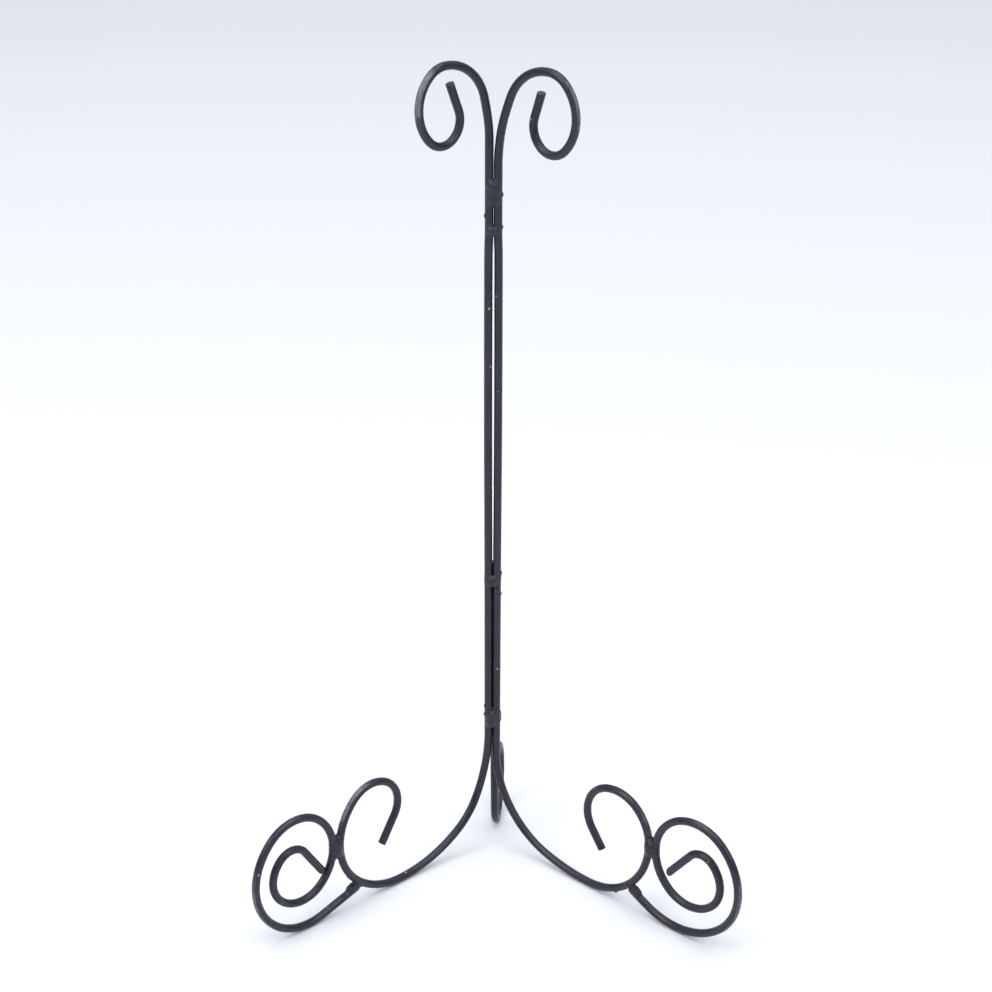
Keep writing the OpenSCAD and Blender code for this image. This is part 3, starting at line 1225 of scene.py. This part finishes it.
class Wiring:
    """Adds nodes to a tree and joins their sockets."""

    def __init__(self, tree: bpy.types.NodeTree) -> None:
        """Keeps the tree and empties it."""
        self.tree = tree
        tree.nodes.clear()

    def node(self, kind: str, **settings: object) -> bpy.types.Node:
        """Adds a node.

        Args:
            kind: the node's type.
            settings: properties to set on it.

        Returns:
            The node.
        """
        made = self.tree.nodes.new(kind)
        for name, value in settings.items():
            setattr(made, name, value)
        return made

    def feed(self, target: Socket, source: object) -> None:
        """Joins a socket to a target, or sets the target's own value.

        Args:
            target: the input socket.
            source: an output socket, a number or a colour.
        """
        if isinstance(source, bpy.types.NodeSocket):
            self.tree.links.new(source, target)
        elif isinstance(source, tuple) and len(target.default_value) > len(source):
            target.default_value = (*source, 1.0)
        else:
            target.default_value = source

    def sum(self, operation: str, first: object, second: object = 0.0,
            clamp: bool = False) -> Socket:
        """Adds a Math node.

        Args:
            operation: what it works out.
            first: its first value.
            second: its second value.
            clamp: keeps the answer from 0 to 1.

        Returns:
            The answer.
        """
        made = self.node("ShaderNodeMath", operation=operation, use_clamp=clamp)
        self.feed(made.inputs[0], first)
        self.feed(made.inputs[1], second)
        return made.outputs[0]

    def average(self, first: Socket, second: Socket, share: float) -> Socket:
        """Adds two values in shares that make up 1.

        Args:
            first: the first value.
            second: the second value.
            share: the second value's share.

        Returns:
            Their weighted sum.
        """
        shares = (self.sum("MULTIPLY", first, 1 - share), self.sum("MULTIPLY", second, share))
        return self.sum("ADD", *shares)

    def span(self, value: object, low: float, high: float, to_low: object = 0.0,
             to_high: object = 1.0) -> Socket:
        """Adds a Map Range node that eases from one span to another.

        Args:
            value: the value to map.
            low: the start of its span.
            high: the end of its span.
            to_low: what the start becomes.
            to_high: what the end becomes.

        Returns:
            The mapped value.
        """
        made = self.node("ShaderNodeMapRange", interpolation_type="SMOOTHSTEP")
        for socket, given in zip(made.inputs, (value, low, high, to_low, to_high)):
            self.feed(socket, given)
        return made.outputs[0]

    def blend(self, share: object, first: object, second: object) -> Socket:
        """Adds a colour mix.

        Args:
            share: how much of the second colour.
            first: the first colour.
            second: the second colour.

        Returns:
            The mixed colour.
        """
        made = self.node("ShaderNodeMix", data_type="RGBA")
        self.feed(made.inputs[0], share)
        self.feed(made.inputs[6], first)
        self.feed(made.inputs[7], second)
        return made.outputs[2]

    def noise(self, vector: Socket, scale: object, detail: float = 3.0,
              rough: float = 0.55) -> Socket:
        """Adds a Noise Texture.

        Args:
            vector: where it is read.
            scale: how fine it is.
            detail: how many finer layers it has.
            rough: how strong those are.

        Returns:
            Its value.
        """
        made = self.node("ShaderNodeTexNoise")
        self.feed(made.inputs["Vector"], vector)
        self.feed(made.inputs["Scale"], scale)
        self.feed(made.inputs["Detail"], detail)
        self.feed(made.inputs["Roughness"], rough)
        return made.outputs[0]

    def cells(self, vector: Socket, scale: object) -> bpy.types.Node:
        """Adds a Voronoi Texture and returns it."""
        made = self.node("ShaderNodeTexVoronoi")
        self.feed(made.inputs["Vector"], vector)
        self.feed(made.inputs["Scale"], scale)
        return made


# How far each pattern is drawn out along the rod, then the spans that masks ease over
BRUSH_STRETCH = (0.18, 1.0, 1.0)
SCRATCH_STRETCH = (0.22, 1.6, 1.6)
TONE_SPAN = (0.36, 0.64)
GRAIN_SPAN = (0.3, 0.7)
WEAR_AND_HIGHLIGHT_SPAN = (0.86, 1.32)
EDGE_SPAN = (1.12, 1.5)
CHIP_SPAN = (0.40, 0.30)
PIT_SPAN = (0.05, 0.32)


@dataclass(frozen=True)
class Effect:
    """A shader node group that more than one finish uses."""

    name: str
    inputs: tuple[tuple[str, str], ...]
    outputs: tuple[str, ...]
    draw: Callable[[Wiring, dict[str, Socket]], dict[str, Socket]]

    def group(self) -> bpy.types.NodeTree:
        """The node group, built the first time it is asked for."""
        tree = bpy.data.node_groups.get(self.name)
        if tree is not None:
            return tree
        tree = bpy.data.node_groups.new(self.name, "ShaderNodeTree")
        for title, kind in self.inputs:
            tree.interface.new_socket(name=title, in_out="INPUT", socket_type=f"NodeSocket{kind}")
        for title in self.outputs:
            tree.interface.new_socket(name=title, in_out="OUTPUT", socket_type="NodeSocketFloat")
        wiring = Wiring(tree)
        given = wiring.node("NodeGroupInput")
        made = self.draw(wiring, {title: given.outputs[title] for title, _ in self.inputs})
        result = wiring.node("NodeGroupOutput")
        for title, socket in made.items():
            wiring.feed(result.inputs[title], socket)
        return tree

    def place(self, wiring: Wiring, **values: object) -> dict[str, Socket]:
        """Adds the group to a material.

        Args:
            wiring: the material's wiring.
            values: the value or socket for each input, with _ for a space.

        Returns:
            Its outputs by name.
        """
        made = wiring.node("ShaderNodeGroup", node_tree=self.group())
        for title, value in values.items():
            wiring.feed(made.inputs[title.replace("_", " ")], value)
        return {title: made.outputs[title] for title in self.outputs}


def draw_mottle(wiring: Wiring, given: dict[str, Socket]) -> dict[str, Socket]:
    """Uneven paint: broad clouds, brushed streaks and a fine grain.

    Args:
        wiring: the group's wiring.
        given: its inputs.

    Returns:
        Its outputs.
    """
    streaks = wiring.node("ShaderNodeVectorMath", operation="MULTIPLY")
    wiring.feed(streaks.inputs[0], given["Vector"])
    streaks.inputs[1].default_value = BRUSH_STRETCH
    broad_scale = wiring.sum("MULTIPLY", given["Scale"], 0.3)
    broad = wiring.noise(given["Vector"], broad_scale, 4.0, 0.6)
    brush_scale = wiring.sum("MULTIPLY", given["Scale"], 4.0)
    brushed = wiring.noise(streaks.outputs[0], brush_scale, 3.0, 0.6)
    fine_scale = wiring.sum("MULTIPLY", given["Scale"], 9.0)
    fine = wiring.noise(given["Vector"], fine_scale, 2.0, 0.6)
    clouds = wiring.average(broad, brushed, 0.5)
    return {"Tone": wiring.span(clouds, *TONE_SPAN), "Grain": wiring.span(fine, *GRAIN_SPAN)}


def draw_wear_and_highlight(wiring: Wiring, given: dict[str, Socket]) -> dict[str, Socket]:
    """Pale patches broken up along the rod, for scuffed paint and painted highlights, and paint
    thinned at cut edges.

    Args:
        wiring: the group's wiring.
        given: its inputs.

    Returns:
        Its outputs.
    """
    patches = wiring.noise(given["Vector"], given["Scale"], 5.0, 0.62)
    scratch = wiring.node("ShaderNodeVectorMath", operation="MULTIPLY")
    wiring.feed(scratch.inputs[0], given["Vector"])
    scratch.inputs[1].default_value = SCRATCH_STRETCH
    line_scale = wiring.sum("MULTIPLY", given["Scale"], 7.0)
    lines = wiring.noise(scratch.outputs[0], line_scale, 2.0, 0.5)
    broken = wiring.average(patches, lines, 0.4)
    worn_and_highlighted = wiring.span(wiring.sum("ADD", given["Mask"], broken), *WEAR_AND_HIGHLIGHT_SPAN)
    edge = wiring.span(wiring.sum("ADD", given["Edge"], patches), *EDGE_SPAN)
    return {"Rub": worn_and_highlighted, "Edge Wear": edge}


def draw_chips(wiring: Wiring, given: dict[str, Socket]) -> dict[str, Socket]:
    """Small chips where bare steel or primer shows.

    Args:
        wiring: the group's wiring.
        given: its inputs.

    Returns:
        Its outputs.
    """
    made = wiring.cells(given["Vector"], given["Scale"])
    chosen = wiring.node("ShaderNodeSeparateColor")
    wiring.feed(chosen.inputs[0], made.outputs["Color"])
    ragged = wiring.noise(given["Vector"], wiring.sum("MULTIPLY", given["Scale"], 3.0), 2.0)
    size = wiring.sum("ADD", made.outputs["Distance"], wiring.sum("MULTIPLY", ragged, 0.3))
    spot = wiring.span(size, *CHIP_SPAN)
    rare = wiring.sum("LESS_THAN", chosen.outputs[0], given["Amount"])
    return {"Chip": wiring.sum("MULTIPLY", spot, rare)}


def draw_surface(wiring: Wiring, given: dict[str, Socket]) -> dict[str, Socket]:
    """The height of the paint: orange peel, small pits and specks of dirt under it.

    Args:
        wiring: the group's wiring.
        given: its inputs.

    Returns:
        Its outputs.
    """
    peel = wiring.noise(given["Vector"], given["Scale"], 2.0, 0.5)
    pits = wiring.cells(given["Vector"], wiring.sum("MULTIPLY", given["Scale"], 1.7))
    pit = wiring.span(pits.outputs["Distance"], *PIT_SPAN)
    specks = wiring.noise(given["Vector"], wiring.sum("MULTIPLY", given["Scale"], 4.5), 2.0, 0.6)
    height = wiring.sum("ADD", wiring.sum("MULTIPLY", peel, 0.55), wiring.sum("MULTIPLY", pit, 0.2))
    return {"Height": wiring.sum("ADD", height, wiring.sum("MULTIPLY", specks, 0.25))}


MOTTLE = Effect("PaintMottle", (("Vector", "Vector"), ("Scale", "Float")),
                ("Tone", "Grain"), draw_mottle)
WEAR_AND_HIGHLIGHT = Effect("PaintWearAndHighlight",
              (("Vector", "Vector"), ("Scale", "Float"), ("Mask", "Float"), ("Edge", "Float")),
              ("Rub", "Edge Wear"), draw_wear_and_highlight)
CHIPS = Effect("PaintChips", (("Vector", "Vector"), ("Scale", "Float"), ("Amount", "Float")),
               ("Chip",), draw_chips)
SURFACE = Effect("PaintSurface", (("Vector", "Vector"), ("Scale", "Float")),
                 ("Height",), draw_surface)


@dataclass(frozen=True)
class Paint:
    """Black paint on steel, with the shade, gloss, scuffs and painted highlights of one kind of
    piece.
    """

    name: str
    dark: Colour
    light: Colour
    worn_and_highlighted: Colour
    bare: Colour
    gloss_rough: float
    matt_rough: float
    mottle_scale: float
    wear_scale: float
    chip_scale: float
    chip_amount: float
    peel_scale: float
    bump_depth: float
    shine: float = 0.42
    edge_steel: float = 0.35
    grain_share: float = 0.25
    wear_and_highlight_floor: float = 0.55
    wear_and_highlight_rough: float = 0.08
    chip_depth: float = 0.8
    wear_and_highlight_depth: float = 0.25
    steel_metal: float = 0.75

    def material(self) -> bpy.types.Material:
        """Builds the material of this paint."""
        made = bpy.data.materials.new(self.name)
        made.use_nodes = True
        wiring = Wiring(made.node_tree)
        wrap = wiring.node("ShaderNodeAttribute", attribute_name="wrap").outputs["Vector"]
        mask = wiring.node("ShaderNodeAttribute", attribute_name="rub").outputs["Fac"]
        edge = wiring.node("ShaderNodeAttribute", attribute_name="edge").outputs["Fac"]
        mottle = MOTTLE.place(wiring, Vector=wrap, Scale=self.mottle_scale)
        wear_and_highlight_masks = WEAR_AND_HIGHLIGHT.place(wiring, Vector=wrap, Scale=self.wear_scale, Mask=mask, Edge=edge)
        chips = CHIPS.place(wiring, Vector=wrap, Scale=self.chip_scale, Amount=self.chip_amount)
        surface = SURFACE.place(wiring, Vector=wrap, Scale=self.peel_scale)
        worn_edge = wiring.sum("MULTIPLY", wear_and_highlight_masks["Edge Wear"], self.edge_steel)
        steel = wiring.sum("MAXIMUM", chips["Chip"], worn_edge)
        speckle = wiring.span(mottle["Grain"], 0.0, 1.0, self.wear_and_highlight_floor, 1.0)
        rub = wiring.sum("MULTIPLY", wear_and_highlight_masks["Rub"], speckle)

        colour = wiring.blend(mottle["Tone"], self.dark, self.light)
        grain = wiring.sum("MULTIPLY", mottle["Grain"], self.grain_share)
        colour = wiring.blend(grain, colour, self.light)
        # Paler grey for scuffs, and for the painted highlights on the head loops.
        colour = wiring.blend(rub, colour, self.worn_and_highlighted)
        colour = wiring.blend(steel, colour, self.bare)
        rough = wiring.span(mottle["Tone"], 0.0, 1.0, self.gloss_rough, self.matt_rough)
        rough_rub = wiring.sum("MULTIPLY", rub, self.wear_and_highlight_rough)
        rough = wiring.sum("ADD", rough, rough_rub, clamp=True)
        chipped = wiring.sum("MULTIPLY", steel, self.chip_depth)
        height = wiring.sum("SUBTRACT", surface["Height"], chipped)
        height = wiring.sum("SUBTRACT", height, wiring.sum("MULTIPLY", rub, self.wear_and_highlight_depth))

        shader = wiring.node("ShaderNodeBsdfPrincipled")
        bump = wiring.node("ShaderNodeBump")
        bump.inputs["Strength"].default_value = 1.0
        bump.inputs["Distance"].default_value = self.bump_depth * MM
        wiring.feed(bump.inputs["Height"], height)
        wiring.feed(shader.inputs["Base Color"], colour)
        wiring.feed(shader.inputs["Roughness"], rough)
        wiring.feed(shader.inputs["Metallic"], wiring.sum("MULTIPLY", steel, self.steel_metal))
        wiring.feed(shader.inputs["Normal"], bump.outputs[0])
        shader.inputs["Specular IOR Level"].default_value = self.shine
        result = wiring.node("ShaderNodeOutputMaterial")
        wiring.feed(result.inputs["Surface"], shader.outputs[0])
        return made


# The pale grey serves scuffed paint and the painted highlights on the head loops.
ROD_PAINT = Paint(
    name="rod_paint", dark=(0.004, 0.0045, 0.010), light=(0.018, 0.0175, 0.033),
    worn_and_highlighted=(0.17, 0.17, 0.19), bare=(0.34, 0.33, 0.33), gloss_rough=0.22, matt_rough=0.42,
    mottle_scale=90.0, wear_scale=160.0, chip_scale=320.0, chip_amount=0.022,
    peel_scale=700.0, bump_depth=0.10,
)
WELD_PAINT = Paint(
    name="weld_paint", dark=(0.005, 0.005, 0.010), light=(0.017, 0.017, 0.030),
    worn_and_highlighted=(0.10, 0.10, 0.12), bare=(0.30, 0.29, 0.29), gloss_rough=0.28, matt_rough=0.44,
    mottle_scale=220.0, wear_scale=300.0, chip_scale=420.0, chip_amount=0.01,
    peel_scale=900.0, bump_depth=0.14,
)


# ---------------------------------------------------------------------------
# The studio
# ---------------------------------------------------------------------------


@dataclass(frozen=True)
class Softbox:
    """A large soft lamp, placed round the stand in metres and degrees."""

    name: str
    turn: float
    climb: float
    distance: float
    width: float
    power: float
    colour: Colour = (1.0, 1.0, 1.0)

    def add(self, aim: Vector) -> None:
        """Adds the lamp to the scene, facing a point.

        Args:
            aim: the point it faces.
        """
        lamp = bpy.data.lights.new(self.name, "AREA")
        lamp.shape = "DISK"
        lamp.size = self.width
        lamp.energy = self.power
        lamp.color = self.colour
        made = bpy.data.objects.new(self.name, lamp)
        turn, climb = math.radians(self.turn), math.radians(self.climb)
        away = Vector((
            math.sin(turn) * math.cos(climb), -math.cos(turn) * math.cos(climb), math.sin(climb),
        ))
        made.location = aim + away * self.distance
        made.rotation_euler = away.to_track_quat("Z", "Y").to_euler()
        bpy.context.scene.collection.objects.link(made)


@dataclass
class Studio:
    """A pale floor that runs on to a pale horizon, and soft light from all round."""

    floor_radius: float = 14.0
    # Painted shade near the stand and painted light far off, set against how the lamps light the
    # floor.
    near_shaded_tone: Colour = (0.76, 0.77, 0.785)
    far_brightened_tone: Colour = (0.86, 0.865, 0.89)
    sky: Colour = (0.90, 0.93, 1.0)
    sky_strength: float = 0.95
    low_sky: float = 0.45
    plain_sky: float = 0.85
    sky_climb: float = 0.8
    lamp_falloff_span: tuple[float, float] = (0.3, 2.6)
    floor_grain: float = 60.0
    floor_sides: int = 96
    lamps: tuple[Softbox, ...] = (
        Softbox("overhead", 0, 82, 2.2, 2.4, 32.0),
        Softbox("front_left", -58, 34, 2.4, 1.2, 16.0),
        Softbox("front_right", 52, 30, 2.6, 1.2, 12.0),
    )

    def _floor_material(self) -> bpy.types.Material:
        """Pale paper, darker near the stand and lighter far off: painted shade under the lamps'
        pool of light, painted light where their light falls off.
        """
        made = bpy.data.materials.new("studio_floor")
        made.use_nodes = True
        wiring = Wiring(made.node_tree)
        place = wiring.node("ShaderNodeTexCoord").outputs["Object"]
        apart = wiring.node("ShaderNodeVectorMath", operation="LENGTH")
        wiring.feed(apart.inputs[0], place)
        grain = wiring.noise(place, self.floor_grain, 3.0)
        fade = wiring.span(apart.outputs["Value"], *self.lamp_falloff_span)
        tone = wiring.blend(fade, self.near_shaded_tone, self.far_brightened_tone)
        tone = wiring.blend(wiring.sum("MULTIPLY", grain, 0.04), tone, self.far_brightened_tone)
        shader = wiring.node("ShaderNodeBsdfPrincipled")
        wiring.feed(shader.inputs["Base Color"], tone)
        wiring.feed(shader.inputs["Roughness"], wiring.span(grain, 0.0, 1.0, 0.8, 1.0))
        shader.inputs["Specular IOR Level"].default_value = 0.1
        result = wiring.node("ShaderNodeOutputMaterial")
        wiring.feed(result.inputs["Surface"], shader.outputs[0])
        return made

    def _floor(self) -> None:
        """Adds the floor, a wide disc that the stand rests on."""
        sides, radius = self.floor_sides, self.floor_radius
        turns = [2 * math.pi * side / sides for side in range(sides)]
        corners = [(radius * math.cos(turn), radius * math.sin(turn), 0.0) for turn in turns]
        mesh = bpy.data.meshes.new("studio_floor")
        mesh.from_pydata(corners, [], [tuple(range(sides))])
        mesh.materials.append(self._floor_material())
        floor = bpy.data.objects.new("studio_floor", mesh)
        bpy.context.scene.collection.objects.link(floor)

    def build(self) -> None:
        """Adds the floor, the surroundings and the lamps."""
        self._floor()
        world = bpy.data.worlds.new("studio_surroundings")
        world.use_nodes = True
        wiring = Wiring(world.node_tree)
        glow = wiring.node("ShaderNodeBackground")
        wiring.feed(glow.inputs["Color"], self.sky)
        climb = wiring.node("ShaderNodeSeparateXYZ")
        wiring.feed(climb.inputs[0], wiring.node("ShaderNodeTexCoord").outputs["Generated"])
        height = climb.outputs[2]
        level = wiring.span(height, 0.0, self.sky_climb, self.low_sky, self.sky_strength)
        seen = wiring.node("ShaderNodeLightPath").outputs["Is Camera Ray"]
        plain = wiring.sum("MULTIPLY", seen, self.plain_sky)
        wiring.feed(glow.inputs["Strength"], wiring.sum("MAXIMUM", level, plain))
        result = wiring.node("ShaderNodeOutputWorld")
        wiring.feed(result.inputs["Surface"], glow.outputs[0])
        bpy.context.scene.world = world
        bpy.context.scene.view_settings.view_transform = "Standard"
        centre = (CAD_BOX[0] + CAD_BOX[1]) / 2
        for lamp in self.lamps:
            lamp.add(Vector((0, 0, centre.z)))


@dataclass
class Viewpoint:
    """The camera: a long lens that looks down on the stand from the front."""

    lens: float = 70.33
    sensor: float = 36.0
    aim_share: float = 0.4794
    aim_x: float = 0.0018
    distance: float = 1.1222
    turn: float = -0.222
    drop: float = 23.86
    roll: float = 0.184

    def build(self) -> None:
        """Adds the camera and makes it the scene's own."""
        data = bpy.data.cameras.new("front_camera")
        data.lens = self.lens
        data.sensor_width = self.sensor
        data.dof.use_dof = False
        turn, drop = math.radians(self.turn), math.radians(self.drop)
        ahead = Vector((
            math.sin(turn) * math.cos(drop), math.cos(turn) * math.cos(drop), -math.sin(drop),
        ))
        camera = bpy.data.objects.new("front_camera", data)
        aim = Vector((self.aim_x, 0, CAD_BOX[1].z * self.aim_share))
        camera.location = aim - ahead * self.distance
        level = ahead.to_track_quat("-Z", "Y").to_matrix()
        roll = Matrix.Rotation(math.radians(self.roll), 3, "Z")
        camera.rotation_euler = (level @ roll).to_euler()
        bpy.context.scene.collection.objects.link(camera)
        bpy.context.scene.camera = camera


# ---------------------------------------------------------------------------
# The stand
# ---------------------------------------------------------------------------


@dataclass
class AlbumStand:
    """The whole stand, built rod by rod and then weld by weld."""

    layout: Layout = field(default_factory=Layout)

    def __post_init__(self) -> None:
        """Lays out the rods from the shared sizes."""
        self.mains = {side: MainRod(self.layout, side) for side in Side}
        self.scrolls = {side: FootScroll(self.mains[side]) for side in Side}
        self.rear = RearLeg(self.layout)
        self.routes: dict[str, Route] = {}

    def _add_rod(self, node: str, route: Route, sweep: Sweep, material: bpy.types.Material) -> None:
        """Builds one rod in place of its CAD node.

        Args:
            node: the CAD node.
            route: the rod's centre line.
            sweep: how the rod is bent and cut, and where it gets scuffs and painted highlights.
            material: its paint.
        """
        self.routes[node] = route
        add_piece(f"{node}_bar", sweep.mesh(f"{node}_bar", route), material, "rod_paint", node)

    def build_rods(self) -> None:
        """Builds the two main rods, the two foot scrolls and the rear leg."""
        paint, rod = ROD_PAINT.material(), self.layout.rod
        # On the head loops the pale stretches are painted highlights, on the sides that face the
        # side lamps.
        head_highlights = {
            Side.LEFT: Rub(-5.0, -3.4, 0.74, 20.0),
            Side.RIGHT: Rub(-5.0, -3.6, 0.68, -15.0),
        }
        curl_rubs = {Side.LEFT: Rub(5.0, 7.0, 0.68), Side.RIGHT: Rub(4.8, 6.4, 0.55)}
        cuts = {Side.LEFT: (Cut.SQUARE, Cut.SQUARE), Side.RIGHT: (Cut.SHEARED, Cut.SQUARE)}
        for number, side in enumerate(Side):
            wear_and_highlights = (head_highlights[side], curl_rubs[side])
            sweep = Sweep(rod, 1 + number, *cuts[side], wear_and_highlights=wear_and_highlights)
            main = self.mains[side]
            self._add_rod(main.node, main.route(), sweep, paint)
        ends = {Side.LEFT: Cut.SHEARED, Side.RIGHT: Cut.POINTED}
        for number, side in enumerate(Side):
            wear_and_highlights = (Rub(0.6, 2.0, 0.62), Rub(2.1, 2.8, 0.45))
            sweep = Sweep(rod, 3 + number, Cut.SQUARE, ends[side], wear_and_highlights=wear_and_highlights)
            scroll = self.scrolls[side]
            self._add_rod(scroll.node, scroll.route(), sweep, paint)
        sweep = Sweep(rod, 5, Cut.SHEARED, Cut.SQUARE, wear_and_highlights=(Rub(1.2, 2.6, 0.5),))
        self._add_rod("rear_leg", self.rear.route(), sweep, paint)

    def build_welds(self) -> None:
        """Builds every weld in place of its CAD node."""
        paint = WELD_PAINT.material()
        welds = Welds(self.layout, self.mains, self.scrolls, self.rear, self.routes)
        for puddle in welds.puddles():
            mesh = puddle.mesh(self.layout.rod)
            add_piece(puddle.name, mesh, paint, "weld_paint", *puddle.nodes)


def write_sizes() -> None:
    """Brings the view layer up to date.
    """
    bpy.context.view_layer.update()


def main() -> None:
    """Builds the stand, its studio and its camera."""
    logging.basicConfig(level=logging.INFO, format="%(name)s: %(message)s")
    stand = AlbumStand()
    stand.build_rods()
    stand.build_welds()
    Studio().build()
    Viewpoint().build()
    write_sizes()


if __name__ == "__main__":
    main()
